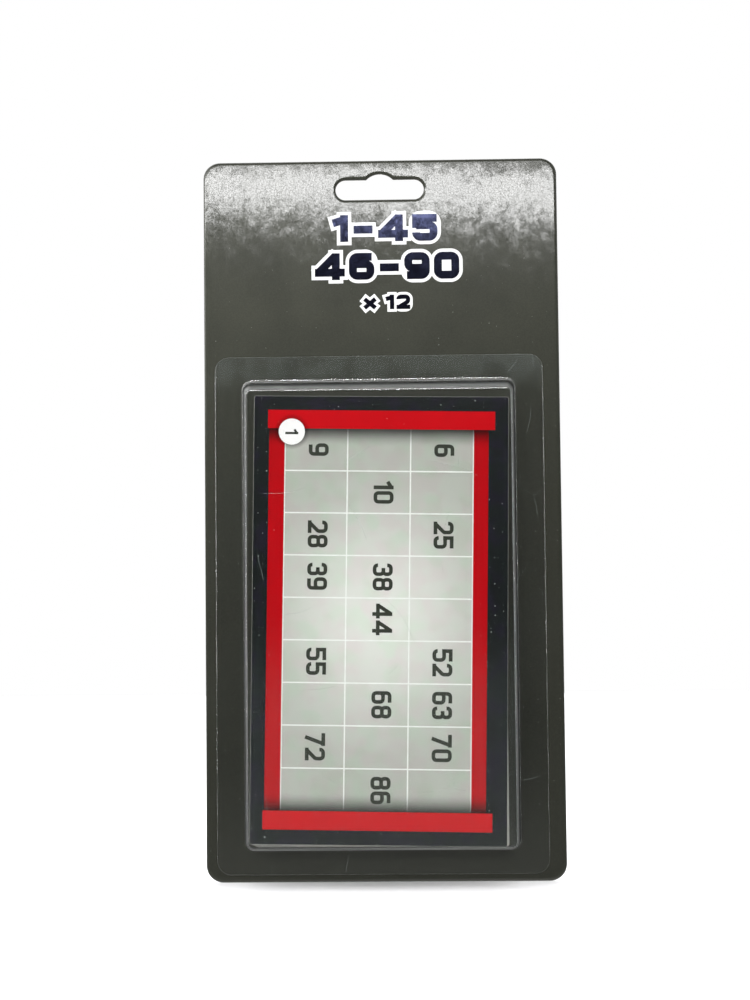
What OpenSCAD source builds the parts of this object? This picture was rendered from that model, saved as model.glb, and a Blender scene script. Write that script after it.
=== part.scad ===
// Hanging pack of bingo cards: loose printed boards stacked in a clear formed blister,
// which is sealed to a die-cut backing card.
// +Z is up and the front faces -Y. The back of the backing card lies on y = 0.
// The origin is the crown of the hang slot, where a display peg bears.

/* [Bingo cards] */
// Width of one bingo card
card_w = 89.5; // [60:0.5:140]
// Height of one bingo card
card_h = 156.5; // [100:0.5:220]
// Thickness of one bingo card
card_t = 1; // [0.4:0.1:2]
// Corner radius of a bingo card
card_r = 0.8; // [0.2:0.1:1.5]
// Number of bingo cards in the pack
card_count = 12; // [2:1:20]
// Gap between neighbouring cards in the stack
card_gap = 0.1; // [0.05:0.05:0.5]
// Lean of the front card in degrees, clockwise seen from the front, fading to none at the rear
front_lean = 1; // [0:0.1:1.5]

/* [Room for the cards] */
// Gap between the rear card and the backing card
rear_gap = 0.1; // [0.05:0.05:0.5]
// Gap between the front card and the front of the blister
front_gap = 0.5; // [0.3:0.1:3]
// Gap on each side of the leaning front card
side_gap = 0.4; // [0.3:0.1:3]
// Slip of the front card towards the left wall, fading to none at the rear
side_slip = 0.2; // [0:0.05:0.2]
// Gap under each resting card
seat_gap = 0.25; // [0.2:0.05:0.5]
// Free height above the front card
headroom = 1.9; // [1:0.1:10]

/* [Blister] */
// Thickness of the clear film
film_t = 0.4; // [0.25:0.05:0.8]
// Slope of each side wall, measured across the width
side_draft = 2.1; // [1:0.1:5]
// Slope of the bottom wall, measured along the height
bottom_draft = 2.1; // [1:0.1:5]
// Slope of the top wall, measured along the height
top_draft = 3.9; // [1:0.1:8]
// Corner radius of the well at its foot
foot_r = 3.2; // [2.8:0.1:6]
// Corner radius of the well at its front
front_r = 2.4; // [2:0.1:2.8]
// Radius that the walls turn with into the flange
foot_fillet = 0.8; // [0.4:0.1:2]
// Radius that the walls turn with into the front
front_fillet = 1.2; // [0.9:0.1:1.6]
// Width of the sealed flange on each side
seal_side = 10; // [6:0.5:20]
// Width of the sealed flange above and below
seal_end = 9; // [6:0.5:20]
// Corner radius of the sealed flange
flange_r = 5; // [2:0.5:10]
// Sideways place of the blister on the backing card
seal_shift = -1.1; // [-3:0.1:3]

/* [Backing card] */
// Thickness of the backing card
backing_t = 0.6; // [0.3:0.1:1.5]
// Mean border between the flange and each side edge
side_border = 5; // [4:0.5:20]
// Border between the flange and the bottom edge
bottom_border = 2.7; // [1:0.1:20]
// Height of the free header above the flange
header_h = 71.3; // [30:0.1:150]
// Corner radius of the backing card
backing_r = 6; // [2:0.5:12]

/* [Hang slot] */
// Width of the slot
slot_w = 32; // [25:0.5:40]
// Height of the straight part of the slot
slot_h = 7.2; // [6:0.1:9]
// Width of the hump in the middle of the slot
hump_w = 9.8; // [6:0.1:12]
// Rise of the hump above the straight part
hump_rise = 2.1; // [1.5:0.1:3]
// Distance from the crown of the hump to the top edge
slot_edge = 5; // [4:0.5:15]

/* [Hidden] */
// Reach of the leaning front card
lean_w = card_w * cos(front_lean) + card_h * sin(front_lean);
lean_h = card_h * cos(front_lean) + card_w * sin(front_lean);

// Depth of the well in front of the backing card
stack_depth = rear_gap + card_count * card_t + (card_count - 1) * card_gap;
well_depth = stack_depth + front_gap + film_t;

// Outer sizes of the blister
front_w = lean_w + 2 * (side_gap + film_t);
front_h = lean_h + seat_gap + headroom + 2 * film_t;
foot_w = front_w + 2 * side_draft;
foot_h = front_h + bottom_draft + top_draft;
flange_w = foot_w + 2 * seal_side;
flange_h = foot_h + 2 * seal_end;

// Outer sizes of the backing card
backing_w = flange_w + 2 * side_border;
backing_h = bottom_border + flange_h + header_h;
backing_bottom = slot_edge - backing_h;

// Lower and upper edge of the well at its foot
foot_bottom = backing_bottom + bottom_border + seal_end;
foot_top = foot_bottom + foot_h;

// Radius of the hump's arc
hump_r = (hump_w * hump_w / 4 + hump_rise * hump_rise) / (2 * hump_rise);

// Corners of a blister ring: side of X, side of Z and the angle where the corner starts
ring_corners = [[1, 1, 0], [-1, 1, 90], [-1, -1, 180], [1, -1, 270]];
// Steps round each corner of a ring, and the turn in degrees between rings along a fillet
corner_steps = 8;
fillet_turn = 22.5;
ring_points = len(ring_corners) * (corner_steps + 1);

$fn = 64;

// Cards are counted from the front
function card_node(i) = str("bingo_card_", i < 10 ? "0" : "", i);
// Share of the front card's lean that a card keeps
function lean_share(i) = (card_count - i) / (card_count - 1);
function card_lean(i) = front_lean * lean_share(i);
// Depth of a card's rear face and front face, from the backing card
function card_rear(i) = rear_gap + (card_count - i) * (card_t + card_gap);
function card_front(i) = card_rear(i) + card_t;
// Half of the height that a leaning card takes up, from its middle to its outermost corner
function half_reach(i) =
    (card_h / 2 - card_r) * cos(card_lean(i)) + (card_w / 2 - card_r) * sin(card_lean(i)) + card_r;
// Inner face of the bottom wall at a depth, which slopes up towards the front
function floor_height(depth) = foot_bottom + bottom_draft * depth / well_depth + film_t;
// Middle of a card that rests on the sloping wall by its lower front edge
function card_x(i) = seal_shift - side_slip * lean_share(i);
function card_z(i) = floor_height(card_front(i)) + seat_gap + half_reach(i);

// One outline of the blister: a rounded rectangle set in from the foot by the given amounts
function ring(side_in, bottom_in, top_in, r, depth) =
    let (reach = foot_w / 2 - side_in - r,
         low = foot_bottom + bottom_in + r,
         high = foot_top - top_in - r)
    [for (c = ring_corners, k = [0:corner_steps])
        let (a = c[2] + 90 * k / corner_steps)
        [seal_shift + c[0] * reach + r * cos(a),
         -(backing_t + depth),
         (c[1] > 0 ? high : low) + r * sin(a)]];
// A ring on the sloping wall, moved inwards by set_in
function wall_ring(set_in, depth) =
    let (s = depth / well_depth)
    ring(side_draft * s + set_in, bottom_draft * s + set_in, top_draft * s + set_in,
         foot_r + (front_r - foot_r) * s - set_in, depth);
// The edge of the flange
function flange_ring(depth) = ring(-seal_side, -seal_end, -seal_end, flange_r, depth);

// An upright panel from its outline in X and Z, with its rear face at the given depth
module panel(rear, thickness) {
    translate([0, -rear, 0])
        rotate([90, 0, 0])
            linear_extrude(thickness)
                children();
}

// Outline of a board with round corners, about its middle
module board_outline(w, h, r) {
    square([w - 2 * r, h], center = true);
    square([w, h - 2 * r], center = true);
    for (sx = [-1, 1], sz = [-1, 1])
        translate([sx * (w / 2 - r), sz * (h / 2 - r)])
            circle(r);
}

// Outline of the hang slot, with the crown of its hump at the origin
module slot_outline() {
    translate([0, -hump_rise - slot_h / 2]) {
        square([slot_w - slot_h, slot_h], center = true);
        for (sx = [-1, 1])
            translate([sx * (slot_w - slot_h) / 2, 0])
                circle(d = slot_h);
    }
    intersection() {
        translate([0, -hump_r])
            circle(hump_r);
        translate([-slot_w / 2, -hump_rise - slot_h / 2])
            square([slot_w, hump_rise + slot_h]);
    }
}

// Printed board with its die-cut hang slot
module backing_card() {
    color([0.2, 0.21, 0.19])
        panel(0, backing_t)
            difference() {
                translate([0, slot_edge - backing_h / 2])
                    board_outline(backing_w, backing_h, backing_r);
                slot_outline();
            }
}

// Clear film formed into a well with sloping walls, and its sealed flange
module blister() {
    inner_foot = foot_fillet + film_t;
    inner_front = front_fillet - film_t;
    // From the front face out to the flange's edge, then back in along the inner side
    rings = concat(
        [for (a = [90:-fillet_turn:0])
            wall_ring(front_fillet * (1 - cos(a)), well_depth - front_fillet * (1 - sin(a)))],
        [for (a = [0:fillet_turn:90])
            wall_ring(-foot_fillet * (1 - cos(a)), film_t + foot_fillet * (1 - sin(a)))],
        [flange_ring(film_t), flange_ring(0)],
        [for (a = [90:-fillet_turn:0])
            wall_ring(film_t - inner_foot * (1 - cos(a)), inner_foot * (1 - sin(a)))],
        [for (a = [0:fillet_turn:90])
            wall_ring(film_t + inner_front * (1 - cos(a)),
                      well_depth - film_t - inner_front * (1 - sin(a)))]
    );
    last = len(rings) - 1;
    color([0.8, 0.87, 0.9, 0.35])
        polyhedron(
            points = [for (r = rings, p = r) p],
            faces = concat(
                [[for (j = [ring_points - 1:-1:0]) j]],
                [[for (j = [0:ring_points - 1]) last * ring_points + j]],
                [for (k = [0:last - 1], j = [0:ring_points - 1], half = [0, 1])
                    let (n = (j + 1) % ring_points,
                         near = k * ring_points,
                         far = near + ring_points)
                    half == 0 ? [near + j, near + n, far + n] : [near + j, far + n, far + j]]
            )
        );
}

// One loose printed board, standing on the bottom wall of the well
module bingo_card(i) {
    color([0.09, 0.1, 0.09])
        panel(backing_t + card_rear(i), card_t)
            translate([card_x(i), card_z(i)])
                rotate(-card_lean(i))
                    board_outline(card_w, card_h, card_r);
}

backing_card();
blister();
for (i = [1:card_count])
    bingo_card(i);
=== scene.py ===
import math

import bmesh
import bpy
from mathutils import Matrix, Vector


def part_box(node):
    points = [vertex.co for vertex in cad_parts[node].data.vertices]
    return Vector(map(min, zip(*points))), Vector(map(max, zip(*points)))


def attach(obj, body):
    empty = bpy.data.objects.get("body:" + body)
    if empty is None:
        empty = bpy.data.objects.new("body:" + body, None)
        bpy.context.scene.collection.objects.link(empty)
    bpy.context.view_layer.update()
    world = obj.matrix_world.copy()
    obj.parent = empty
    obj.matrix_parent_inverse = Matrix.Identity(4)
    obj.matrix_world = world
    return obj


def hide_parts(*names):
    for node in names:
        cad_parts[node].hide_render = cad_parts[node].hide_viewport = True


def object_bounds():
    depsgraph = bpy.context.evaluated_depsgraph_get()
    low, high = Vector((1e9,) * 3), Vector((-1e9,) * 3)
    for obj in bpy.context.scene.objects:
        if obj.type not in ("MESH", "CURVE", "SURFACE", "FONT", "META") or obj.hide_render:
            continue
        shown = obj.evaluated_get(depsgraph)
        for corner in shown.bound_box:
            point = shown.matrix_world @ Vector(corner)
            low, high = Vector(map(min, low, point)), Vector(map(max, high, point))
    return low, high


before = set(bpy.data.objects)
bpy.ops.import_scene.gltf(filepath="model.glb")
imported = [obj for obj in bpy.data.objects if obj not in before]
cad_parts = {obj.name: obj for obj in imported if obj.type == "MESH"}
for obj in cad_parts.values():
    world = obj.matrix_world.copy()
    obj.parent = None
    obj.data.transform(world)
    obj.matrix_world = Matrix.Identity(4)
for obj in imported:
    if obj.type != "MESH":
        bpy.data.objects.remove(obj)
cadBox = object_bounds()
mm = 0.001
white = (1.0, 1.0, 1.0, 1.0)
print("frame loaded:", len(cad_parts), "nodes")


# node helpers
def srgb(red, green, blue):
    parts = [c / 255 for c in (red, green, blue)]
    linear = [c / 12.92 if c <= 0.04045 else ((c + 0.055) / 1.055) ** 2.4 for c in parts]
    return (*linear, 1.0)


def darker(colour, share):
    return (*(c * share for c in colour[:3]), 1.0)


def startMaterial(name, sockets=None):
    mat = bpy.data.materials.new(name)
    mat.use_nodes = True
    shader = mat.node_tree.nodes["Principled BSDF"]
    for key, value in (sockets or {}).items():
        shader.inputs[key].default_value = value
    return mat, mat.node_tree, shader


def addNode(tree, kind, sockets=None, **settings):
    new = tree.nodes.new(kind)
    for key, value in settings.items():
        setattr(new, key, value)
    for key, value in (sockets or {}).items():
        if isinstance(value, bpy.types.NodeSocket):
            tree.links.new(value, new.inputs[key])
        else:
            new.inputs[key].default_value = value
    return new


def plug(tree, shader, sockets):
    for key, value in sockets.items():
        tree.links.new(value, shader.inputs[key])


def calc(tree, operation, *values):
    return addNode(tree, "ShaderNodeMath", dict(enumerate(values)), operation=operation).outputs[0]


def vectorCalc(tree, operation, *values):
    return addNode(tree, "ShaderNodeVectorMath", dict(enumerate(values)), operation=operation).outputs[0]


def remap(tree, value, low, high, outLow, outHigh):
    sockets = {0: value, 1: low, 2: high, 3: outLow, 4: outHigh}
    return addNode(tree, "ShaderNodeMapRange", sockets, interpolation_type="SMOOTHSTEP").outputs[0]


def hypotenuse(tree, first, second):
    squares = [calc(tree, "MULTIPLY", side, side) for side in (first, second)]
    return calc(tree, "SQRT", calc(tree, "ADD", *squares))


def mixColour(tree, factor, first, second, mode="MIX"):
    sockets = {0: factor, 6: first, 7: second}
    return addNode(tree, "ShaderNodeMix", sockets, data_type="RGBA", blend_type=mode).outputs[2]


def multiply(tree, first, second):
    return mixColour(tree, 1.0, first, second, "MULTIPLY")


def objectPlace(tree):
    return addNode(tree, "ShaderNodeTexCoord").outputs["Object"]


def splitVector(tree, vector):
    return addNode(tree, "ShaderNodeSeparateXYZ", {0: vector}).outputs


def cloud(tree, size, detail=2.0, place=None):  # soft noise with features of about this size
    sockets = {"Vector": place or objectPlace(tree), "Scale": 1 / size, "Detail": detail}
    return addNode(tree, "ShaderNodeTexNoise", sockets).outputs[0]


def dent(tree, height, depth, onto=None):
    sockets = {"Height": height, "Strength": 1.0, "Distance": depth}
    if onto:
        sockets["Normal"] = onto
    return addNode(tree, "ShaderNodeBump", sockets).outputs[0]


def uprightPlace(tree, place=None):  # x and z of a place, for flat patterns on an upright face
    split = splitVector(tree, place or objectPlace(tree))
    return addNode(tree, "ShaderNodeCombineXYZ", {0: split[0], 1: split[2]}).outputs[0]


def dustMask(tree, spacing, size, rarity):  # sparse specks, the largest of about this size
    sockets = {"Vector": uprightPlace(tree), "Scale": 1 / spacing}
    cells = addNode(tree, "ShaderNodeTexVoronoi", sockets, voronoi_dimensions="2D")
    chance = addNode(tree, "ShaderNodeSeparateColor", {0: cells.outputs["Color"]})
    reach = calc(tree, "MULTIPLY", calc(tree, "POWER", chance.outputs[0], rarity), size / spacing)
    speck = calc(tree, "LESS_THAN", cells.outputs["Distance"], reach)
    return calc(tree, "MULTIPLY", speck, remap(tree, chance.outputs[1], 0.0, 1.0, 0.3, 1.0))


# mesh helpers
sharpAngle = math.radians(40)
shortest = 1e-7  # runs below this are left out
weld = 1e-6


def looseMesh(name, bm):
    mesh = bpy.data.meshes.new(name)
    bm.to_mesh(mesh)
    bm.free()
    return mesh


def addObject(name, data):
    new = bpy.data.objects.new(name, data)
    bpy.context.scene.collection.objects.link(new)
    return new


def makePiece(name, bm, materials, body, node=None):
    mesh = looseMesh(name, bm)
    for mat in materials:
        mesh.materials.append(mat)
    mesh.shade_smooth()
    mesh.set_sharp_from_angle(angle=sharpAngle)
    piece = addObject(name, mesh)
    piece.modifiers.new("flatFaces", "WEIGHTED_NORMAL").keep_sharp = True
    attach(piece, body)
    if node:
        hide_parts(node)
    return piece


def roundedFace(bm, left, right, low, high, radius, y, steps):
    before = set(bm.faces)
    places = ((left, y, low), (right, y, low), (right, y, high), (left, y, high))
    corners = [bm.verts.new(p) for p in places]
    bmesh.ops.contextual_create(bm, geom=corners)
    bmesh.ops.bevel(bm, geom=corners, offset=radius, offset_type="OFFSET", segments=steps, profile=0.5,
                    affect="VERTICES", material=-1)
    return [f for f in bm.faces if f not in before][0]


def vertsIn(geom):
    return [g for g in geom if isinstance(g, bmesh.types.BMVert)]


def edgesIn(geom):
    return [g for g in geom if isinstance(g, bmesh.types.BMEdge)]


def facesIn(geom):
    return [g for g in geom if isinstance(g, bmesh.types.BMFace)]


def upright(flat):  # a flat (x, z) place in the frame
    return Vector((flat.x, 0, flat.y))


def pathMoves(points):  # straight runs and arcs along corner points (x, z, radius)
    places = [Vector(p[:2]) for p in points]
    here = places[0]
    moves = []
    for i in range(1, len(points) - 1):
        arriving = (places[i] - places[i - 1]).normalized()
        leaving = (places[i + 1] - places[i]).normalized()
        turn = math.atan2(arriving.cross(leaving), arriving.dot(leaving))
        radius = points[i][2]
        cut = radius * math.tan(abs(turn) / 2)
        enter = places[i] - arriving * cut
        side = Vector((-arriving.y, arriving.x)) * math.copysign(radius, turn)
        moves.append((enter - here, None, 0.0))
        moves.append((None, enter + side, turn))
        here = places[i] + leaving * cut
    moves.append((places[-1] - here, None, 0.0))
    return [m for m in moves if m[0] is None or m[0].length >= shortest]


def arcSteps(turn, stepAngle):
    return max(2, math.ceil(abs(math.degrees(turn)) / stepAngle))


def drawStroke(bm, points, width, stepAngle):  # drags a straight nib of this width along a route
    start = Vector(points[0][:2])
    along = (Vector(points[1][:2]) - start).normalized()
    half = Vector((-along.y, along.x)) * width / 2
    nib = bm.edges.new([bm.verts.new(upright(start + s * half)) for s in (1, -1)])
    drawn = list(nib.verts)
    for run, centre, turn in pathMoves(points):
        if centre is None:
            made = bmesh.ops.extrude_edge_only(bm, edges=[nib])["geom"]
            tips = vertsIn(made)
            bmesh.ops.translate(bm, vec=upright(run), verts=tips)
            nib = [e for e in edgesIn(made) if e.verts[0] in tips and e.verts[1] in tips][0]
            drawn += tips
        else:
            known = set(bm.verts)
            made = bmesh.ops.spin(bm, geom=[nib, *nib.verts], cent=upright(centre), axis=(0, -1, 0), angle=turn,
                                  steps=arcSteps(turn, stepAngle))
            nib = edgesIn(made["geom_last"])[0]
            drawn += [v for v in bm.verts if v not in known]
    bmesh.ops.remove_doubles(bm, verts=drawn, dist=weld)


def drawLine(bm, points, stepAngle):  # drags a point along a route
    tip = bm.verts.new(upright(Vector(points[0][:2])))
    drawn = [tip]
    for run, centre, turn in pathMoves(points):
        if centre is None:
            tip = bmesh.ops.extrude_vert_indiv(bm, verts=[tip])["verts"][0]
            bmesh.ops.translate(bm, vec=upright(run), verts=[tip])
            drawn.append(tip)
        else:
            known = set(bm.verts)
            made = bmesh.ops.spin(bm, geom=[tip], cent=upright(centre), axis=(0, -1, 0), angle=turn,
                                  steps=arcSteps(turn, stepAngle))
            tip = vertsIn(made["geom_last"])[0]
            drawn += [v for v in bm.verts if v not in known]
    bmesh.ops.remove_doubles(bm, verts=drawn, dist=weld)


def turnSteps(first, last, steps):  # angles from one to another, given in degrees
    return [math.radians(first + (last - first) * k / steps) for k in range(steps + 1)]


def thicken(bm, depth):  # pulls flat faces forwards into closed solids
    made = bmesh.ops.extrude_face_region(bm, geom=list(bm.faces))["geom"]
    bmesh.ops.translate(bm, vec=(0, -depth, 0), verts=vertsIn(made))
    bmesh.ops.recalc_face_normals(bm, faces=list(bm.faces))


# figures drawn with a broad pen, in a box of width w and height h
def ringStroke(left, right, low, high, radius):
    middle = (low + high) / 2
    return [(right, middle), (right, high, radius), (left, high, radius), (left, low, radius),
            (right, low, radius), (right, middle)]


def figureStrokes(figure, w, h, pen, r):
    left, right, low, high = pen / 2, w - pen / 2, pen / 2, h - pen / 2
    waist, loop, bar = h * 0.53, h * 0.58, h * 0.28
    hookLow = max(h * 0.26, low + r * 1.05)  # free ends of open bowls
    hookHigh = min(h * 0.72, high - r * 1.05)
    strokes = {
        "0": [ringStroke(left, right, low, high, r)],
        "1": [[(right, 0), (right, h)],
              [(right, h - pen * 0.62), (w * 0.08, h * 0.70)]],
        "2": [[(left, hookHigh), (left, high, r), (right, high, r), (right, h * 0.52, r), (left + pen * 0.1, low)],
              [(0, low), (w, low)]],
        "3": [[(left, hookHigh), (left, high, r), (right, high, r), (right, waist, r), (w * 0.36, waist)],
              [(w * 0.36, waist), (right, waist, r), (right, low, r), (left, low, r), (left, hookLow)]],
        "4": [[(w * 0.7, 0), (w * 0.7, h)],
              [(0, bar), (w, bar)],
              [(w * 0.7 - pen * 0.08, h - pen * 0.36), (pen * 0.45, bar)]],
        "5": [[(left, high), (w * 0.97, high)],
              [(left, h), (left, h * 0.48)],
              [(left, loop), (right, loop, r), (right, low, r), (left, low, r), (left, hookLow)]],
        "6": [ringStroke(left, right, low, loop, r),
              [(left, h * 0.3), (left, high, r), (w * 0.9, high)]],
        "7": [[(0, high), (w, high)],
              [(w - pen * 0.6, high), (w * 0.3, 0)]],
        "8": [ringStroke(left, right, low, waist, r),
              ringStroke(left, right, waist, high, r)],
        "9": [ringStroke(left, right, h - loop, high, r),
              [(right, h * 0.7), (right, low, r), (w * 0.1, low)]],
        "-": [[(w * 0.06, h * 0.45), (w * 0.94, h * 0.45)]],
        "x": [[(w * 0.08, h * 0.1), (w * 0.92, h * 0.72)],
              [(w * 0.08, h * 0.72), (w * 0.92, h * 0.1)]],
        " ": [],
    }
    return strokes[figure]


figureShares = {"1": 0.66, "4": 1.18, "-": 0.85, "x": 0.95, " ": 0.3}  # widths that differ from the usual one
figureMeshes = {}


def figureWidth(figure, style):
    return style["width"] * figureShares.get(figure, 1.0)


def strokesOf(figure, style):
    return figureStrokes(figure, figureWidth(figure, style), style["height"], style["pen"], style["turn"])


def figureSpots(words, style):  # the figures of a centred row, with the place of their left sides
    widths = [figureWidth(figure, style) for figure in words]
    cursor = -(sum(widths) + style["space"] * (len(words) - 1)) / 2
    spots = []
    for figure, width in zip(words, widths):
        spots.append((figure, cursor))
        cursor += width + style["space"]
    return spots


def unite(name, meshes):  # joins overlapping flat solids into one
    helpers = [addObject(name, mesh) for mesh in meshes]
    for other in helpers[1:]:
        join = helpers[0].modifiers.new("join", "BOOLEAN")
        join.operation = "UNION"
        join.solver = "EXACT"
        join.object = other
    bpy.context.view_layer.update()
    shown = helpers[0].evaluated_get(bpy.context.evaluated_depsgraph_get())
    united = bpy.data.meshes.new_from_object(shown)
    for helper in helpers:
        bpy.data.objects.remove(helper)
    return united


def figureMesh(figure, style):
    key = (figure, style["name"])
    if key not in figureMeshes:
        solids = []
        for stroke in strokesOf(figure, style):
            bm = bmesh.new()
            drawStroke(bm, stroke, style["pen"], style["stepAngle"])
            thicken(bm, style["relief"])
            solids.append(looseMesh("stroke", bm))
        figureMeshes[key] = unite("figure", solids)
    return figureMeshes[key]


def addMesh(bm, mesh, place, material):
    knownVerts = set(bm.verts)
    knownFaces = set(bm.faces)
    bm.from_mesh(mesh)
    bmesh.ops.transform(bm, matrix=place, verts=[v for v in bm.verts if v not in knownVerts])
    for face in bm.faces:
        if face not in knownFaces:
            face.material_index = material


def addFigures(bm, words, style, place, material):  # a row of figures centred on place
    for figure, left in figureSpots(words, style):
        if figure != " ":
            spot = Matrix.Translation((left, 0, -style["height"] / 2))
            addMesh(bm, figureMesh(figure, style), place @ spot, material)


# materials of the boards
boardFinish = {
    "core": srgb(172, 168, 160),
    "cardCore": srgb(150, 149, 142),
    "coreShade": 0.62,
    "coreDent": 0.03 * mm,
    "fibre": 0.35 * mm,
    "rear": srgb(150, 147, 140),
    "rearShade": 0.72,
    "rearDent": 0.012 * mm,
    "rearPatch": 14 * mm,
    "warm": (1.0, 0.985, 0.95, 1.0),
    "cool": (0.9, 0.92, 0.94, 1.0),
    "flake": 0.9 * mm,
    "flakeStretch": (1.0, 1.0, 0.55),  # fibres lie along the board
    "flakeTone": (0.88, 0.875, 0.86, 1.0),
    "fleck": srgb(84, 78, 70),
    "flecks": (3.2 * mm, 0.55 * mm, 4.0),  # spacing, size, rarity
}


def makeBoardCore(name, colour):
    s = boardFinish
    mat, tree, shader = startMaterial(name, {"Roughness": 0.85})
    layers = cloud(tree, s["fibre"], 4.0)
    plug(tree, shader, {
        "Base Color": mixColour(tree, layers, darker(colour, s["coreShade"]), colour),
        "Normal": dent(tree, layers, s["coreDent"]),
    })
    return mat


def makeBoardRear():
    s = boardFinish
    mat, tree, shader = startMaterial("boardRearPlain")
    fibre = cloud(tree, s["fibre"], 5.0)
    patches = cloud(tree, s["rearPatch"], 3.0)
    sockets = {"Vector": objectPlace(tree), "Scale": s["flakeStretch"]}
    along = addNode(tree, "ShaderNodeMapping", sockets).outputs[0]
    flakes = remap(tree, cloud(tree, s["flake"], 4.0, along), 0.4, 0.6, 0.0, 1.0)
    speckles = remap(tree, fibre, 0.35, 0.7, 0.0, 1.0)
    speckled = mixColour(tree, speckles, darker(s["rear"], s["rearShade"]), s["rear"])
    flaked = multiply(tree, speckled, mixColour(tree, flakes, s["flakeTone"], white))
    toned = multiply(tree, flaked, mixColour(tree, patches, s["warm"], s["cool"]))
    plug(tree, shader, {
        "Base Color": mixColour(tree, dustMask(tree, *s["flecks"]), toned, s["fleck"]),
        "Roughness": remap(tree, patches, 0.3, 0.7, 0.58, 0.72),
        "Normal": dent(tree, fibre, s["rearDent"]),
    })
    return mat


boardCore = makeBoardCore("boardCoreCut", boardFinish["core"])
cardCore = makeBoardCore("cardCoreCut", boardFinish["cardCore"])
boardRear = makeBoardRear()

# backing card: a varnished print that is rolled down at its cut edges, with a die-cut hang slot
backing = {
    "cornerRadius": 6 * mm,
    "cornerSteps": 14,
    "slotWidth": 32 * mm,
    "slotHeight": 7.2 * mm,
    "humpWidth": 9.8 * mm,
    "humpRise": 2.1 * mm,
    "slotStepAngle": 9,
    "rimWidth": 1.2 * mm,
    "rimDrop": 0.34 * mm,
    "rimSteps": 4,
    "gloss": {"Metallic": 0.6, "Specular IOR Level": 0.25, "Coat Roughness": 0.092, "Coat IOR": 1.5},
    "ink": srgb(54, 55, 47),
    "inkShade": 0.84,
    "inkDots": 0.5 * mm,
    "tintPatch": 22 * mm,
    "tints": ((1.0, 1.0, 0.96, 1.0), (0.95, 0.97, 1.0, 1.0)),
    "dust": (2.6 * mm, 0.14 * mm, 12.0),  # spacing, size, rarity
    "dustColour": srgb(140, 140, 136),
    "patch": 4.5 * mm,
    "patchLean": 0.055,
    "grain": 0.55 * mm,
    "grainShine": (0.55, 1.0),
}


def varnishLean(tree):  # patches and fine flecks that face a little each way
    lean = Vector((1, 1, 1)) * backing["patchLean"]
    sockets = {"Vector": objectPlace(tree), "Scale": 1 / backing["patch"], "Detail": 4.0, "Roughness": 0.85}
    flecks = addNode(tree, "ShaderNodeTexNoise", sockets).outputs["Color"]
    centred = vectorCalc(tree, "SUBTRACT", flecks, (0.5, 0.5, 0.5))
    facing = addNode(tree, "ShaderNodeNewGeometry").outputs["Normal"]
    return vectorCalc(tree, "NORMALIZE", vectorCalc(tree, "MULTIPLY_ADD", centred, lean, facing))


def makeBackingPrint():
    s = backing
    mat, tree, shader = startMaterial("backingDarkVarnish", s["gloss"])
    dots = remap(tree, cloud(tree, s["inkDots"], 3.0), 0.35, 0.65, 0.0, 1.0)
    patches = cloud(tree, s["tintPatch"], 3.0)
    grainy = mixColour(tree, dots, darker(s["ink"], s["inkShade"]), s["ink"])
    inked = multiply(tree, grainy, mixColour(tree, patches, *s["tints"]))
    facing = varnishLean(tree)
    plug(tree, shader, {
        "Base Color": mixColour(tree, dustMask(tree, *s["dust"]), inked, s["dustColour"]),
        "Roughness": remap(tree, patches, 0.3, 0.7, 0.40, 0.48),
        "Coat Weight": remap(tree, cloud(tree, s["grain"]), 0.35, 0.65, *s["grainShine"]),
        "Normal": facing,
        "Coat Normal": facing,
    })
    return mat


def slotRoutes():  # the hang slot's outline as three routes, from the middle of its lower side
    s = backing
    end = s["slotWidth"] / 2
    top = -s["humpRise"]
    bottom = top - s["slotHeight"]
    endRound = s["slotHeight"] / 2
    humpHalf = s["humpWidth"] / 2
    humpRound = (humpHalf ** 2 + s["humpRise"] ** 2) / (2 * s["humpRise"])
    humpAngle = math.asin(humpHalf / humpRound)
    peak = humpHalf * math.tan(humpAngle) - s["humpRise"]  # where the hump's two end tangents meet
    return ([(0, bottom), (end, bottom, endRound), (end, top, endRound), (humpHalf, top)],
            [(humpHalf, top), (0, peak, humpRound), (-humpHalf, top)],
            [(-humpHalf, top), (-end, top, endRound), (-end, bottom, endRound), (0, bottom)])


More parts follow.
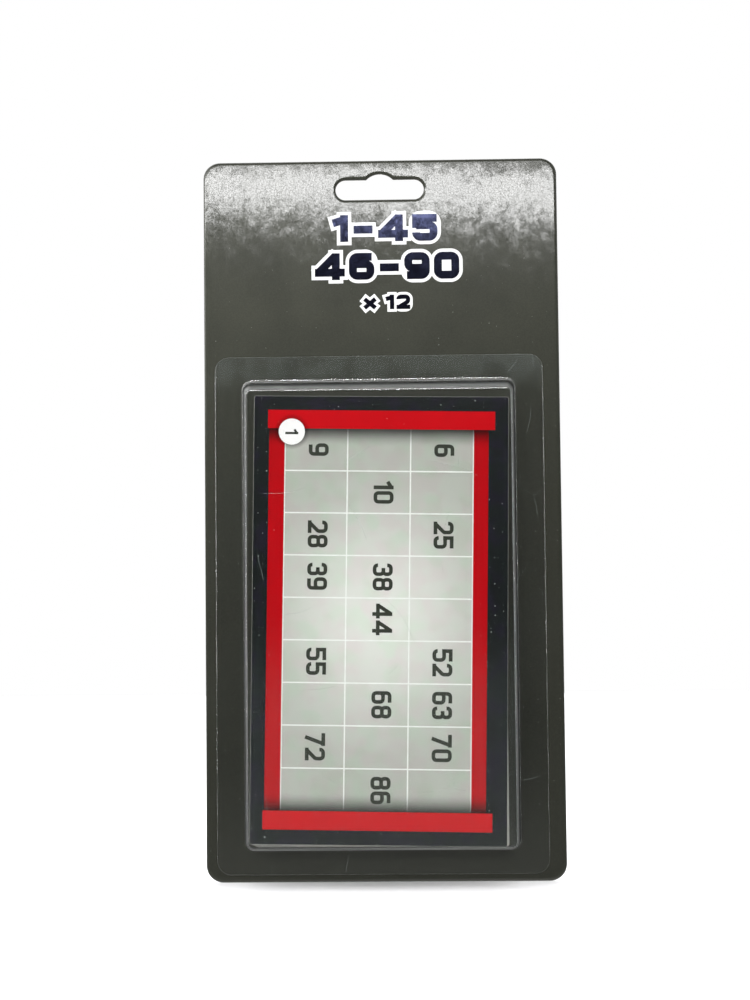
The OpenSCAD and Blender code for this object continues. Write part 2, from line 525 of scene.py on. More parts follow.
def buildBacking():
    s = backing
    low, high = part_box("backing_card")
    front = low.y + s["rimDrop"]
    bm = bmesh.new()
    face = roundedFace(bm, low.x, high.x, low.z, high.z, s["cornerRadius"], 0, s["cornerSteps"])
    bmesh.ops.delete(bm, geom=[face], context="FACES_ONLY")  # its edges stay as the outline
    known = set(bm.verts)
    for route in slotRoutes():
        drawLine(bm, route, s["slotStepAngle"])
    bmesh.ops.remove_doubles(bm, verts=[v for v in bm.verts if v not in known], dist=weld)
    filled = bmesh.ops.triangle_fill(bm, edges=list(bm.edges), use_beauty=True, normal=(0, -1, 0))["geom"]
    bmesh.ops.translate(bm, vec=(0, high.y, 0), verts=list(bm.verts))
    made = bmesh.ops.extrude_face_region(bm, geom=facesIn(filled))["geom"]
    bmesh.ops.translate(bm, vec=(0, front - high.y, 0), verts=vertsIn(made))
    bmesh.ops.recalc_face_normals(bm, faces=list(bm.faces))
    raised = [f for f in facesIn(made) if f.normal.y < -0.9]
    angles = turnSteps(0, 90, s["rimSteps"])
    for before, after in zip(angles, angles[1:]):
        across = s["rimWidth"] * (math.cos(before) - math.cos(after))
        rise = s["rimDrop"] * (math.sin(after) - math.sin(before))
        bmesh.ops.inset_region(bm, faces=raised, thickness=across, depth=0.0, use_even_offset=True)
        bmesh.ops.translate(bm, vec=(0, -rise, 0), verts=list({v for f in raised for v in f.verts}))
    bmesh.ops.recalc_face_normals(bm, faces=list(bm.faces))
    for face in bm.faces:
        face.material_index = 0 if face.normal.y < -0.1 else 2 if face.normal.y > 0.9 else 1
    return makePiece("backing_card_printed", bm, [backingPrint, boardCore, boardRear], "pack",
                     "backing_card")


backingPrint = makeBackingPrint()
backingPiece = buildBacking()
print("backing card:", len(backingPiece.data.polygons), "faces")

# heavy outlined figures on the header
header = {
    "rows": [("1-45", 1.6 * mm, -19.75 * mm, 1.0), ("46-90", 2.4 * mm, -33.65 * mm, 1.0),
             ("x 12", 2.2 * mm, -46.75 * mm, 0.54)],  # figures, x and z of the middle, scale
    "height": 9.8 * mm,
    "width": 9.2 * mm,
    "pen": 2.9 * mm,
    "turn": 1.6 * mm,
    "space": 1.5 * mm,
    "stepAngle": 10,
    "relief": 0.03 * mm,
    "outline": 1.2 * mm,
    "straight": "147-x",  # figures whose outline follows each stroke
    "plateCorner": 0.34,  # of the width, for the plates under round figures
    "plateSteps": 10,
    "fill": (srgb(5, 5, 8), srgb(9, 9, 15)),
    "fillPatch": 4 * mm,
    "sheen": srgb(150, 158, 215),
    "edge": srgb(232, 232, 230),
    "edgeShade": 0.9,
    "edgeGrain": 0.6 * mm,
    "edgeDent": 0.008 * mm,
}


def makeHeaderInk():
    mat, tree, shader = startMaterial("headerDarkInk", {"Roughness": 0.1, "Specular Tint": header["sheen"]})
    plug(tree, shader, {
        "Base Color": mixColour(tree, cloud(tree, header["fillPatch"], 3.0), *header["fill"]),
        "Normal": varnishLean(tree),
    })
    return mat


def makeHeaderEdge():
    mat, tree, shader = startMaterial("headerWhiteInk", {"Roughness": 0.3})
    dots = cloud(tree, header["edgeGrain"], 3.0)
    plug(tree, shader, {
        "Base Color": mixColour(tree, dots, darker(header["edge"], header["edgeShade"]), header["edge"]),
        "Normal": dent(tree, dots, header["edgeDent"]),
    })
    return mat


def outlineSolids(figure, style, place, grow):  # wider shapes of a figure's strokes, to lie under it
    straight = figure in header["straight"]
    width = figureWidth(figure, style)
    strokes = strokesOf(figure, style)
    solids = []
    for stroke in strokes if straight else strokes[:1]:
        bm = bmesh.new()
        if straight:
            first, last = Vector(stroke[0][:2]), Vector(stroke[-1][:2])
            reach = (last - first).normalized() * grow
            drawStroke(bm, [first - reach, last + reach], style["pen"] + 2 * grow, style["stepAngle"])
        else:
            roundedFace(bm, -grow, width + grow, -grow, style["height"] + grow,
                        width * header["plateCorner"] + grow, 0, header["plateSteps"])
        thicken(bm, style["relief"])
        bmesh.ops.transform(bm, matrix=place, verts=list(bm.verts))
        solids.append(looseMesh("outline", bm))
    return solids


def buildHeader():
    s = header
    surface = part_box("backing_card")[0].y
    bm = bmesh.new()
    for words, x, z, scale in s["rows"]:
        style = {"name": "header%g" % scale, "stepAngle": s["stepAngle"], "relief": s["relief"]}
        style.update({key: s[key] * scale for key in ("height", "width", "pen", "turn", "space")})
        grow = s["outline"] * (scale + 1) / 2
        solids = []
        for figure, left in figureSpots(words, style):
            spot = Matrix.Translation((x + left, surface, z - style["height"] / 2))
            solids += outlineSolids(figure, style, spot, grow)
        addMesh(bm, unite("outline", solids), Matrix.Identity(4), 0)
        addFigures(bm, words, style, Matrix.Translation((x, surface - s["relief"], z)), 1)
    return makePiece("header_figures", bm, [headerEdge, headerInk], "pack")


headerInk = makeHeaderInk()
headerEdge = makeHeaderEdge()
headerPiece = buildHeader()
print("header:", len(headerPiece.data.polygons), "faces")

# printed bingo cards, counted from the front
card = {
    "count": 12,
    "cornerRadius": 0.8 * mm,
    "cornerSteps": 6,
    "edgeRound": 0.22 * mm,
    "printTurn": 0.2,  # degrees that the print is out of square with the board
    "barEnds": (-40.0 * mm, 39.75 * mm),
    "barInner": 66.65 * mm,
    "barOuter": 73.15 * mm,
    "stripOuter": (-39.5 * mm, 37.5 * mm),
    "gridSides": (-34.0 * mm, 32.37 * mm),
    "gridRows": 9,
    "gridColumns": 3,
    "ruleWidth": 0.45 * mm,
    "sideRule": 0.35 * mm,
    "numberShifts": (0.9 * mm, 1.7 * mm, 0.7 * mm),
    "badgePlace": (-31.6 * mm, 65.5 * mm),
    "badgeRadius": 4.6 * mm,
    "badgeRelief": 0.02 * mm,
    "badgeSegments": 48,
    "shadowReach": (-1.2 * mm, 6.6 * mm),
    "badgeShadow": 2 * mm,
    "stripShade": 0.8,
}
cardInk = {
    "black": (srgb(12, 16, 17), srgb(20, 28, 25)),
    "blackPatch": 9 * mm,
    "violet": srgb(26, 22, 36),
    "violetPatch": 5 * mm,
    "violetShare": 0.8,
    "blackDust": (1.5 * mm, 0.2 * mm, 10.0),  # spacing, size, rarity
    "blackDustColour": srgb(165, 170, 165),
    "red": (srgb(180, 0, 10), srgb(194, 2, 16)),
    "redPatch": 7 * mm,
    "redDust": (2.0 * mm, 0.16 * mm, 12.0),
    "redDustColour": srgb(226, 150, 145),
    "silver": (srgb(214, 215, 208), srgb(172, 175, 166)),  # painted highlight: light in the middle of the silver panel and darker far from it
    "silverHighlightMiddle": (-0.5 * mm, 1 * mm),
    "silverHighlightReach": (52 * mm, 60 * mm),
    "pink": (1.0, 0.94, 0.97, 1.0),
    "pinkPatch": 6 * mm,
    "green": (0.93, 1.0, 0.94, 1.0),
    "greenPatch": 7.5 * mm,
    "rule": (srgb(214, 216, 210), srgb(238, 240, 236)),
    "ruleGrain": 1.1 * mm,
    "number": (srgb(43, 46, 39), srgb(57, 60, 51)),
    "numberGrain": 0.4 * mm,
    "badge": (srgb(226, 224, 222), srgb(244, 243, 241)),
    "badgeGrain": 0.7 * mm,
    "skin": 0.8 * mm,
    "dent": 0.004 * mm,
}
# numbers of the front card, from its left column to its right one, top to bottom
frontNumbers = [
    [9, 0, 28, 39, 0, 55, 0, 72, 0],
    [0, 10, 0, 38, 44, 0, 68, 0, 86],
    [6, 0, 25, 0, 0, 52, 63, 70, 0],
]
numberStyle = {"name": "number", "height": 7.0 * mm, "width": 4.4 * mm, "pen": 1.3 * mm, "turn": 1.05 * mm,
               "space": 0.65 * mm, "stepAngle": 15, "relief": 0.03 * mm}
badgeStyle = {"name": "badge", "height": 4.6 * mm, "width": 2.8 * mm, "pen": 0.8 * mm, "turn": 0.7 * mm,
              "space": 0.45 * mm, "stepAngle": 15, "relief": 0.02 * mm}
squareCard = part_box("bingo_card_%02d" % card["count"])  # the rear card stands square
cardSize = squareCard[1] - squareCard[0]


def printPlace(tree):  # metres from the middle of a card, across and up
    split = splitVector(tree, addNode(tree, "ShaderNodeTexCoord").outputs["UV"])
    across = calc(tree, "MULTIPLY_ADD", split[0], cardSize.x, -cardSize.x / 2)
    up = calc(tree, "MULTIPLY_ADD", split[1], cardSize.z, -cardSize.z / 2)
    return across, up


def printedShadow(tree, across, up):  # soft shade beside the bars and round the badge
    inside = calc(tree, "SUBTRACT", card["barInner"], calc(tree, "ABSOLUTE", up))
    barShade = remap(tree, inside, *card["shadowReach"], 0.0, 1.0)
    onBar = calc(tree, "LESS_THAN", inside, 0.0)
    x, z = card["badgePlace"]
    away = hypotenuse(tree, calc(tree, "SUBTRACT", across, x), calc(tree, "SUBTRACT", up, z))
    badgeShade = remap(tree, away, card["badgeRadius"], card["badgeRadius"] + card["badgeShadow"], 0.5, 1.0)
    return calc(tree, "MULTIPLY", calc(tree, "MAXIMUM", barShade, onBar), badgeShade)


def inkDents(tree):
    return dent(tree, cloud(tree, cardInk["skin"], 2.0), cardInk["dent"])


def makeCardBlack():
    s = cardInk
    mat, tree, shader = startMaterial("cardBlackInk", {"Roughness": 0.16})
    inked = mixColour(tree, cloud(tree, s["blackPatch"], 3.0), *s["black"])
    violet = remap(tree, cloud(tree, s["violetPatch"], 1.0), 0.48, 0.64, 0.0, s["violetShare"])
    tinted = mixColour(tree, violet, inked, s["violet"])
    plug(tree, shader, {
        "Base Color": mixColour(tree, dustMask(tree, *s["blackDust"]), tinted, s["blackDustColour"]),
        "Normal": inkDents(tree),
    })
    return mat


def makeCardRed():
    s = cardInk
    mat, tree, shader = startMaterial("cardRedInk", {"Roughness": 0.17, "Specular IOR Level": 0.15})
    across, up = printPlace(tree)
    inked = mixColour(tree, cloud(tree, s["redPatch"], 3.0), *s["red"])
    onStrip = calc(tree, "LESS_THAN", calc(tree, "ABSOLUTE", up), card["barInner"])
    tone = remap(tree, onStrip, 0.0, 1.0, 1.0, card["stripShade"])
    shaded = multiply(tree, inked, calc(tree, "MULTIPLY", tone, printedShadow(tree, across, up)))
    plug(tree, shader, {
        "Base Color": mixColour(tree, dustMask(tree, *s["redDust"]), shaded, s["redDustColour"]),
        "Normal": inkDents(tree),
    })
    return mat


def makeCardSilver():
    s = cardInk
    mat, tree, shader = startMaterial("cardSilverInk", {"Roughness": 0.18})
    across, up = printPlace(tree)
    shares = [calc(tree, "DIVIDE", calc(tree, "SUBTRACT", place, middle), reach)
              for place, middle, reach in zip((across, up), s["silverHighlightMiddle"], s["silverHighlightReach"])]
    # the base colour carries a painted highlight, brightest near the middle of the panel
    paintedHighlight = mixColour(tree, remap(tree, hypotenuse(tree, *shares), 0.0, 1.0, 0.0, 1.0), *s["silver"])
    pinkish = remap(tree, cloud(tree, s["pinkPatch"], 1.0), 0.4, 0.65, 0.0, 1.0)
    greenish = remap(tree, cloud(tree, s["greenPatch"], 1.0), 0.45, 0.65, 0.0, 1.0)
    tinted = multiply(tree, paintedHighlight, mixColour(tree, pinkish, white, s["pink"]))
    tinted = multiply(tree, tinted, mixColour(tree, greenish, white, s["green"]))
    plug(tree, shader, {
        "Base Color": multiply(tree, tinted, printedShadow(tree, across, up)),
        "Normal": inkDents(tree),
    })
    return mat


def makeCardRule():
    mat, tree, shader = startMaterial("cardWhiteRule", {"Roughness": 0.18})
    worn = mixColour(tree, cloud(tree, cardInk["ruleGrain"], 3.0), *cardInk["rule"])
    plug(tree, shader, {"Base Color": multiply(tree, worn, printedShadow(tree, *printPlace(tree)))})
    return mat


def makeNumberInk():
    mat, tree, shader = startMaterial("cardNumberInk", {"Roughness": 0.2})
    grain = cloud(tree, cardInk["numberGrain"], 4.0)
    plug(tree, shader, {
        "Base Color": mixColour(tree, grain, *cardInk["number"]),
        "Normal": dent(tree, grain, cardInk["dent"]),
    })
    return mat


def makeBadgeInk():
    mat, tree, shader = startMaterial("cardBadgeWhite", {"Roughness": 0.3})
    plug(tree, shader, {"Base Color": mixColour(tree, cloud(tree, cardInk["badgeGrain"], 3.0), *cardInk["badge"])})
    return mat


def cutBoard(bm, direction, places):  # slices the board along straight print edges
    for place in places:
        bmesh.ops.bisect_plane(bm, geom=list(bm.verts) + list(bm.edges) + list(bm.faces), dist=shortest,
                               plane_co=direction * place, plane_no=direction)


def ruleCentres(low, high, count):
    return [low + (high - low) * k / count for k in range(1, count)]


def ruleSides(low, high, count):
    half = card["ruleWidth"] / 2
    return [centre + edge for centre in ruleCentres(low, high, count) for edge in (-half, half)]


def inkAt(x, z):  # material number of the print at a place on the card
    s = card
    if s["barInner"] < abs(z) < s["barOuter"] and s["barEnds"][0] < x < s["barEnds"][1]:
        return 2
    if abs(z) > s["barInner"] or not s["stripOuter"][0] < x < s["stripOuter"][1]:
        return 0
    left, right = s["gridSides"]
    if not left < x < right:
        return 2
    half = s["ruleWidth"] / 2
    onColumn = any(abs(x - c) < half for c in ruleCentres(left, right, s["gridColumns"]))
    onRow = any(abs(z - c) < half for c in ruleCentres(-s["barInner"], s["barInner"], s["gridRows"]))
    onSide = min(x - left, right - x) < s["sideRule"]
    return 4 if onColumn or onRow or onSide else 3


def buildBlankCard():
    s = card
    w, h, t = cardSize.x, cardSize.z, cardSize.y
    turn = Matrix.Rotation(math.radians(s["printTurn"]), 3, "Y")
    bm = bmesh.new()
    roundedFace(bm, -w / 2, w / 2, -h / 2, h / 2, s["cornerRadius"], 0, s["cornerSteps"])
    bmesh.ops.rotate(bm, verts=list(bm.verts), cent=(0, 0, 0), matrix=turn.inverted())  # square to the print
    left, right = s["gridSides"]
    upCuts = [*s["barEnds"], *s["stripOuter"], left, right, left + s["sideRule"], right - s["sideRule"]]
    upCuts += ruleSides(left, right, s["gridColumns"])
    acrossCuts = [e * v for v in (s["barInner"], s["barOuter"]) for e in (-1, 1)]
    acrossCuts += ruleSides(-s["barInner"], s["barInner"], s["gridRows"])
    cutBoard(bm, Vector((1, 0, 0)), upCuts)
    cutBoard(bm, Vector((0, 0, 1)), acrossCuts)
    made = bmesh.ops.extrude_face_region(bm, geom=list(bm.faces))["geom"]
    bmesh.ops.translate(bm, vec=(0, t, 0), verts=vertsIn(made))
    bmesh.ops.recalc_face_normals(bm, faces=list(bm.faces))
    bmesh.ops.dissolve_faces(bm, faces=[f for f in bm.faces if f.normal.y > 0.9])
    rims = [e for e in bm.edges if e.calc_face_angle(0) > 1.2]
    bmesh.ops.bevel(bm, geom=rims, offset=s["edgeRound"], offset_type="OFFSET", segments=3, profile=0.5,
                    affect="EDGES", material=-1)
    uv = bm.loops.layers.uv.new("printPlace")
    for face in bm.faces:
        middle = face.calc_center_median()
        if face.normal.y < -0.9:
            face.material_index = inkAt(middle.x, middle.z)
        else:
            face.material_index = 1 if face.normal.y < 0.9 else 5
        for corner in face.loops:
            corner[uv].uv = (corner.vert.co.x / w + 0.5, corner.vert.co.z / h + 0.5)
    return looseMesh("blankCard", bm)


def buildBadgeDisc():
    bm = bmesh.new()
    bmesh.ops.create_circle(bm, cap_ends=True, cap_tris=False, segments=card["badgeSegments"],
                            radius=card["badgeRadius"])
    bmesh.ops.rotate(bm, verts=list(bm.verts), cent=(0, 0, 0), matrix=Matrix.Rotation(math.radians(90), 3, "X"))
    thicken(bm, card["badgeRelief"])
    return looseMesh("badgeDisc", bm)


def cardNumbers(index):  # the front card's own numbers, or moved on within each row of ten for a card behind it
    columns = []
    for c in range(card["gridColumns"]):
        source = frontNumbers[(c + index) % card["gridColumns"]]
        column = []
        for row, number in enumerate(source):
            if number and index:
                number = row * 10 + (number + 3 * index) % 10 if row else 1 + (number + 2 * index) % 9
            column.append(number)
        columns.append(column)
    return columns


def buildCard(index):
    s = card
    node = "bingo_card_%02d" % (index + 1)
    low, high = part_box(node)
    middle = (low + high) / 2
    lean = math.asin((high.x - low.x - cardSize.x) / (cardSize.z - 2 * s["cornerRadius"]))
    place = Matrix.Translation((middle.x, low.y, middle.z))
    place = place @ Matrix.Rotation(lean + math.radians(s["printTurn"]), 4, "Y")
    sideways = Matrix.Rotation(math.radians(90), 4, "Y")
    bm = bmesh.new()
    bm.from_mesh(blankCard)
    left, right = s["gridSides"]
    cellWidth = (right - left) / s["gridColumns"]
    cellHeight = 2 * s["barInner"] / s["gridRows"]
    for c, column in enumerate(cardNumbers(index)):
        for row, number in enumerate(column):
            if number:
                x = left + cellWidth * (c + 0.5) + s["numberShifts"][c]
                z = s["barInner"] - cellHeight * (row + 0.5)
                addFigures(bm, str(number), numberStyle, Matrix.Translation((x, 0, z)) @ sideways, 6)
    x, z = s["badgePlace"]
    addMesh(bm, badgeDisc, Matrix.Translation((x, 0, z)), 7)
    addFigures(bm, str(index + 1), badgeStyle, Matrix.Translation((x, -s["badgeRelief"], z)) @ sideways, 6)
    bmesh.ops.transform(bm, matrix=place, verts=list(bm.verts))
    inks = [cardBlack, cardCore, cardRed, cardSilver, cardRule, boardRear, numberInk, badgeInk]
    return makePiece(node + "_printed", bm, inks, "card_%02d" % (index + 1), node)


cardBlack = makeCardBlack()
cardRed = makeCardRed()
cardSilver = makeCardSilver()
cardRule = makeCardRule()
numberInk = makeNumberInk()
badgeInk = makeBadgeInk()
blankCard = buildBlankCard()
badgeDisc = buildBadgeDisc()
cardPieces = [buildCard(i) for i in range(card["count"])]
print("cards:", len(cardPieces), "with", len(cardPieces[0].data.polygons), "faces on the front one")

# clear blister: a well with sloping walls and a flat flange, in rings from the front face to the rear
film = {
    "thickness": 0.4 * mm,
    "sealSide": 10 * mm,
    "sealEnd": 9 * mm,
    "sideDraft": 2.1 * mm,
    "bottomDraft": 2.1 * mm,
    "topDraft": 3.9 * mm,
    "footRadius": 3.2 * mm,
    "frontRadius": 2.4 * mm,
    "flangeRadius": 5 * mm,
    "footFillet": 0.35 * mm,
    "footRamp": 5.0 * mm,  # the flange bends up gently before the tight fillet
    "frontFillet": 0.6 * mm,
    "frontCrown": 5.0 * mm,  # and so does the front face
    "gentleTurn": 10,  # degrees
    "gentleSteps": 4,
    "cornerSteps": 12,
    "filletSteps": 5,
    "flatEdge": 0.25 * mm,
    "cutBevel": 0.15 * mm,
    "lift": 0.03 * mm,  # air under the flange
    "wave": 26 * mm,
    "waveDepth": 0.006 * mm,
    "scuff": 8 * mm,
    "scuffDepth": 0.0006 * mm,
    "clearTint": (0.985, 0.99, 0.988, 1.0),
    "edgeShine": 3.5,
    "faceShine": 0.042,
    "smearPatch": 18 * mm,
    "smears": (0.05, 0.09),  # roughness of the flat faces
    "wallRoughness": 0.28,  # the walls and bends were drawn out most
    "bendFacing": (0.9935, 0.9988),
    "wallShade": 0.85,  # painted shade in the walls' reflection, darker towards the foot
    "shadeFront": (-14.0 * mm, -5.0 * mm),
    "shadeFoot": (-2.0 * mm, -1.4 * mm),
    "milkTint": (0.62, 0.70, 0.66, 1.0),
    "sealHaze": (0.0099, 0.022),
    "sealPatch": 9 * mm,
    "sealTop": (-80 * mm, -72 * mm),
    "sealDepth": (-1.7 * mm, -1.2 * mm),
    # painted light: a pale veil low on the front face
    "frontPaintedVeil": 0.0105,
    "frontFade": (-195 * mm, -155 * mm),
    "frontDepth": (-14.5 * mm, -14.0 * mm),
    "scratchSpacing": 34 * mm,
    "scratchWidth": 0.05 * mm,
    "scratchBend": 16 * mm,
    "scratchPatch": 15 * mm,
    "scratchHaze": 0.16,
}


def filmScratches(tree):  # a few bent hair lines
    s = film
    sockets = {"Vector": objectPlace(tree), "Scale": 1 / s["scratchSpacing"], "Detail": 1.0}
    bend = addNode(tree, "ShaderNodeTexNoise", sockets).outputs["Color"]
    bent = vectorCalc(tree, "MULTIPLY_ADD", bend, Vector((1, 1, 1)) * s["scratchBend"], objectPlace(tree))
    sockets = {"Vector": uprightPlace(tree, bent), "Scale": 1 / s["scratchSpacing"]}
    cells = addNode(tree, "ShaderNodeTexVoronoi", sockets, voronoi_dimensions="2D", feature="DISTANCE_TO_EDGE")
    line = calc(tree, "LESS_THAN", cells.outputs["Distance"], s["scratchWidth"] / s["scratchSpacing"])
    some = remap(tree, cloud(tree, s["scratchPatch"], 1.0), 0.55, 0.62, 0.0, s["scratchHaze"])
    return calc(tree, "MULTIPLY", line, some)


def filmHaze(tree):  # milky patches where the upper flange is sealed, and a painted pale veil of reflected light low on the front
    s = film
    split = splitVector(tree, objectPlace(tree))
    upper = remap(tree, split[2], *s["sealTop"], 0.0, 1.0)
    onFlange = remap(tree, split[1], *s["sealDepth"], 0.0, 1.0)
    patches = remap(tree, cloud(tree, s["sealPatch"], 3.0), 0.38, 0.52, *s["sealHaze"])
    sealed = calc(tree, "MULTIPLY", calc(tree, "MULTIPLY", upper, onFlange), patches)
    # painted light: the pale veil is strongest at the bottom of the front face and fades out upwards
    lower = remap(tree, split[2], *s["frontFade"], s["frontPaintedVeil"], 0.0)
    onFront = remap(tree, split[1], *s["frontDepth"], 1.0, 0.0)
    return calc(tree, "MULTIPLY_ADD", lower, onFront, sealed)


def filmRoughness(tree):  # smears on the flat faces, and more on walls and bends
    s = film
    smears = remap(tree, cloud(tree, s["smearPatch"], 4.0), 0.35, 0.7, *s["smears"])
    facing = addNode(tree, "ShaderNodeNewGeometry").outputs["Normal"]
    forwards = calc(tree, "ABSOLUTE", splitVector(tree, facing)[1])
    return calc(tree, "MAXIMUM", smears, remap(tree, forwards, *s["bendFacing"], s["wallRoughness"], 0.0))


# painted shade: the walls' gloss colour is darkened by depth towards the foot, which darkens their reflection
def wallTone(tree):
    s = film
    depth = splitVector(tree, objectPlace(tree))[1]
    shade = remap(tree, depth, *s["shadeFront"], 0.0, s["wallShade"])
    nearFoot = calc(tree, "MULTIPLY", shade, remap(tree, depth, *s["shadeFoot"], 1.0, 0.0))
    return calc(tree, "SUBTRACT", 1.0, nearFoot)


def makeClearFilm():
    s = film
    mat, tree, shader = startMaterial("blisterClearFilm")
    tree.nodes.remove(shader)
    wavy = dent(tree, cloud(tree, s["wave"], 1.0), s["waveDepth"])
    scuffed = dent(tree, cloud(tree, s["scuff"], 0.0), s["scuffDepth"], wavy)
    edgeOn = addNode(tree, "ShaderNodeLayerWeight", {"Blend": 0.5, "Normal": scuffed}).outputs["Facing"]
    least = s["faceShine"]
    shine = calc(tree, "MULTIPLY_ADD", calc(tree, "POWER", edgeOn, s["edgeShine"]), 1 - least, least)
    clear = addNode(tree, "ShaderNodeBsdfTransparent", {"Color": s["clearTint"]}).outputs[0]
    sockets = {"Roughness": filmRoughness(tree), "Color": wallTone(tree), "Normal": scuffed}
    gloss = addNode(tree, "ShaderNodeBsdfGlossy", sockets).outputs[0]
    mixed = addNode(tree, "ShaderNodeMixShader", {0: shine, 1: clear, 2: gloss}).outputs[0]
    milky = addNode(tree, "ShaderNodeBsdfDiffuse", {"Color": s["milkTint"]}).outputs[0]
    # the milky shader carries the real seal haze and scratches, and the painted veil on the lower front
    marksAndPaintedVeil = calc(tree, "MAXIMUM", filmHaze(tree), filmScratches(tree))
    marked = addNode(tree, "ShaderNodeMixShader", {0: marksAndPaintedVeil, 1: mixed, 2: milky}).outputs[0]
    plug(tree, tree.nodes["Material Output"], {"Surface": marked})
    return mat


def arcPlaces(centre, reach, angles):
    return [centre - reach * Vector((math.cos(a), -math.sin(a))) for a in angles]


def bendRings(tight, wide, corner, side, grow):  # a tight arc that runs out into a gentle one
    joint = 90 - film["gentleTurn"]
    across, along = math.cos(math.radians(joint)), math.sin(math.radians(joint))
    near = Vector(corner) + side * Vector((tight, -wide * (1 - along) - tight * along))
    far = near + side * (wide - tight) * Vector((across, -along))
    rings = arcPlaces(near, side * (tight + grow), turnSteps(0, joint, film["filletSteps"]))
    rings += arcPlaces(far, side * (wide + grow), turnSteps(joint, 90, film["gentleSteps"])[1:])
    return [("wall", ring.x, ring.y) for ring in rings]


def filmRoute(depthAll):  # how far each ring is set in from the sloping wall or the flange's edge, and its depth
    s = film
    t, flat, lift = s["thickness"], s["flatEdge"], s["lift"]
    front = bendRings(s["frontFillet"], s["frontCrown"], (0, depthAll), 1, 0)
    frontInside = bendRings(s["frontFillet"], s["frontCrown"], (0, depthAll), 1, -t)
    foot = bendRings(s["footFillet"], s["footRamp"], (0, t), -1, 0)
    footInside = bendRings(s["footFillet"], s["footRamp"], (0, t), -1, t)
    route = [("wall", front[-1][1] + flat, depthAll)] + front[::-1] + foot
    route += [("wall", foot[-1][1] - flat, t), ("flange", s["cutBevel"], t), ("flange", 0, t - s["cutBevel"])]
    route += [("flange", 0, lift), ("wall", footInside[-1][1] - flat, lift)]
    route += [(kind, setIn, max(lift, depth)) for kind, setIn, depth in footInside[::-1]]
    return route + frontInside + [("wall", frontInside[-1][1] + flat, depthAll - t)]


def buildBlister():
    s = film
    low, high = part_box("blister")
    depthAll = high.y - low.y
    footLeft, footRight = low.x + s["sealSide"], high.x - s["sealSide"]
    footLow, footHigh = low.z + s["sealEnd"], high.z - s["sealEnd"]
    bm = bmesh.new()
    rings = []
    for k, (kind, setIn, depth) in enumerate(filmRoute(depthAll)):
        spread = k * depthAll  # rings are bridged one above the other, and then moved to their depths
        if kind == "flange":
            face = roundedFace(bm, low.x + setIn, high.x - setIn, low.z + setIn, high.z - setIn,
                               s["flangeRadius"] - setIn, spread, s["cornerSteps"])
        else:
            share = depth / depthAll
            side = s["sideDraft"] * share + setIn
            radius = s["footRadius"] + (s["frontRadius"] - s["footRadius"]) * share - setIn
            face = roundedFace(bm, footLeft + side, footRight - side, footLow + s["bottomDraft"] * share + setIn,
                               footHigh - s["topDraft"] * share - setIn, radius, spread, s["cornerSteps"])
        rings.append((face, list(face.verts), high.y - depth - spread))
    loops = [list(face.edges) for face, verts, move in rings]
    bmesh.ops.delete(bm, geom=[face for face, verts, move in rings[1:-1]], context="FACES_ONLY")
    for near, far in zip(loops, loops[1:]):
        bmesh.ops.bridge_loops(bm, edges=near + far)
    for face, verts, move in rings:
        bmesh.ops.translate(bm, vec=(0, move, 0), verts=verts)
    bmesh.ops.recalc_face_normals(bm, faces=list(bm.faces))
    return makePiece("blister_clear", bm, [clearFilm], "pack", "blister")


clearFilm = makeClearFilm()
blisterPiece = buildBlister()
print("blister:", len(blisterPiece.data.polygons), "faces")

# floor, light and camera
studio = {
    "floorLow": (-0.9, -0.8),
    "floorHigh": (0.9, 0.8),
    "floorColour": srgb(246, 246, 247),
    "floorShade": 0.97,
    "floorPatch": 80 * mm,
    "behind": (0.8, 0.8, 0.86, 1.0),
    "behindEdge": (-0.5, 0.4),  # heading along y
    "before": (0.058, 0.058, 0.06, 1.0),
    "beforeLow": (0.19, 0.19, 0.182, 1.0),
    "beforeLowEdge": (-0.2, -0.12),  # heading upwards
    "belowEdge": (-0.5, -0.2),
}
lamps = [
    # name, place, aimed at, width, height, roll in degrees, power
    ("frontStrip", (-0.35, -1.6, 0.677), (-0.35, 0.0, 0.24), 1.4, 0.07, -2.6, 8.4),
    ("upperStrip", (-0.35, -1.6, 0.83), (-0.35, 0.0, 0.24), 1.4, 0.19, 0.0, 4.5),
    ("leftStrip", (-1.2, 0.03, 0.25), (0.0, -0.01, 0.12), 0.16, 0.9, 0.0, 10.0),
    ("rightStrip", (1.2, 0.03, 0.25), (0.0, -0.01, 0.12), 0.16, 0.9, 0.0, 9.0),
    ("leftSoftbox", (-1.3, -1.1, 0.9), (0.0, 0.0, 0.1), 1.2, 1.2, 0.0, 15.0),
    ("rightSoftbox", (1.3, -1.1, 0.9), (0.0, 0.0, 0.1), 1.2, 1.2, 0.0, 3.6),
    ("topSoftbox", (0.0, 0.2, 2.2), (0.0, 0.2, 0.0), 3.0, 3.0, 0.0, 77.0),
    ("rearSoftbox", (0.0, 1.8, 1.2), (0.0, 0.0, 0.1), 1.6, 1.0, 0.0, 5.0),
]
view = {
    "place": (7.864 * mm, -538.559 * mm, 110.640 * mm),  # height above the pack's foot
    "yaw": 1.1623,
    "pitch": 2.6527,
    "roll": 0.6271,
    "lens": 54.0,
    "sensor": 36.0,
    "nearest": 0.01,
}
ground = Vector((0, 0, cadBox[0].z))


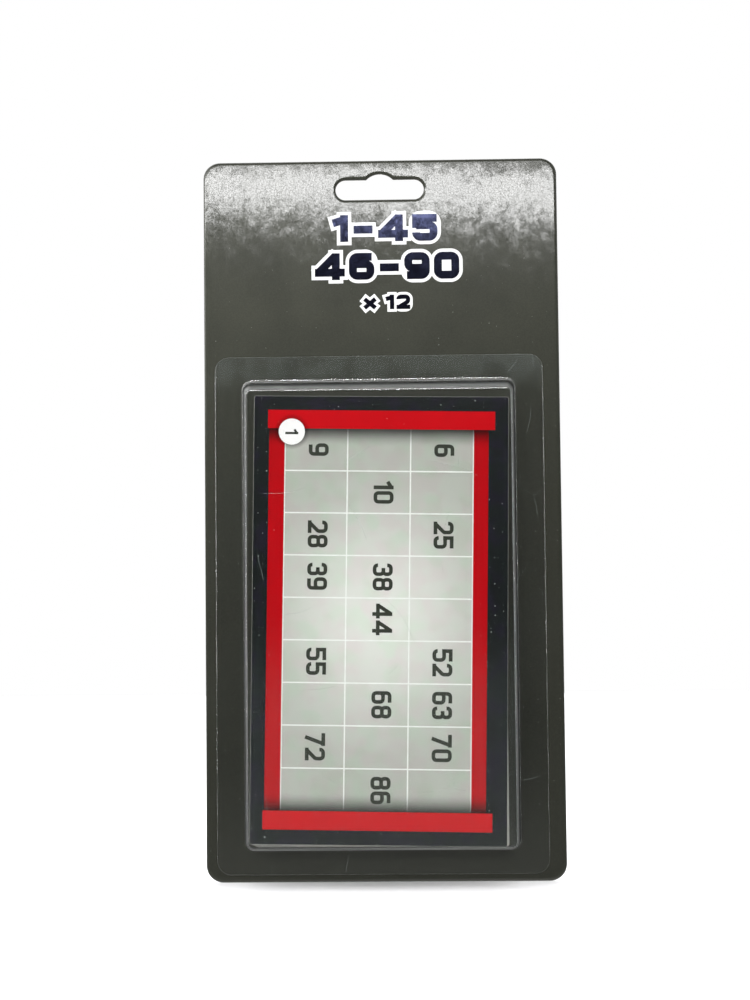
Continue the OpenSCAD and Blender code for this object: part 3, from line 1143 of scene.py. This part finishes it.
def buildFloor():
    s = studio
    low, high = Vector(s["floorLow"]), Vector(s["floorHigh"])
    bm = bmesh.new()
    bmesh.ops.create_grid(bm, x_segments=1, y_segments=1, size=0.5)
    bmesh.ops.scale(bm, vec=(*(high - low), 1), verts=list(bm.verts))
    bmesh.ops.translate(bm, vec=(*((low + high) / 2), ground.z), verts=list(bm.verts))
    mesh = looseMesh("floor", bm)
    mat, tree, shader = startMaterial("floorPale", {"Roughness": 0.5})
    patches = cloud(tree, s["floorPatch"], 3.0)
    pale = mixColour(tree, patches, darker(s["floorColour"], s["floorShade"]), s["floorColour"])
    plug(tree, shader, {"Base Color": pale})
    mesh.materials.append(mat)
    floor = addObject("floor", mesh)
    floor.visible_glossy = False  # keeps the pale floor out of the varnish


def buildWorld():
    s = studio
    world = bpy.data.worlds.new("studioWorld")
    world.use_nodes = True
    tree = world.node_tree
    seen = addNode(tree, "ShaderNodeLightPath").outputs["Is Camera Ray"]
    heading = splitVector(tree, addNode(tree, "ShaderNodeTexCoord").outputs["Generated"])
    lowDown = remap(tree, heading[2], *s["beforeLowEdge"], 1.0, 0.0)
    behind = remap(tree, heading[1], *s["behindEdge"], 0.0, 1.0)
    below = remap(tree, heading[2], *s["belowEdge"], 1.0, 0.0)
    tone = mixColour(tree, lowDown, s["before"], s["beforeLow"])
    tone = mixColour(tree, behind, tone, s["behind"])
    tone = mixColour(tree, below, tone, white)
    plug(tree, tree.nodes["Background"], {"Color": mixColour(tree, seen, tone, white)})
    bpy.context.scene.world = world


def buildLamps():
    for name, place, target, width, height, roll, power in lamps:
        data = bpy.data.lights.new(name, "AREA")
        data.shape = "RECTANGLE"
        data.size = width
        data.size_y = height
        data.energy = power
        lamp = addObject(name, data)
        aim = (Vector(target) - Vector(place)).to_track_quat("-Z", "Y").to_matrix().to_4x4()
        aim = aim @ Matrix.Rotation(math.radians(roll), 4, "Z")
        lamp.matrix_world = Matrix.Translation(Vector(place) + ground) @ aim
        lamp.visible_camera = False


def buildCamera():
    data = bpy.data.cameras.new("photoView")
    data.lens = view["lens"]
    data.sensor_width = view["sensor"]
    data.clip_start = view["nearest"]
    camera = addObject("photoView", data)
    turn = Matrix.Identity(3)
    for key, axis in (("roll", "Y"), ("pitch", "X"), ("yaw", "Z")):
        turn = turn @ Matrix.Rotation(math.radians(view[key]), 3, axis)
    turn = turn @ Matrix.Rotation(math.radians(90), 3, "X")
    camera.matrix_world = Matrix.Translation(Vector(view["place"]) + ground) @ turn.to_4x4()
    bpy.context.scene.camera = camera


buildFloor()
buildWorld()
buildLamps()
buildCamera()
bpy.context.scene.view_settings.view_transform = "Standard"
print("studio ready")
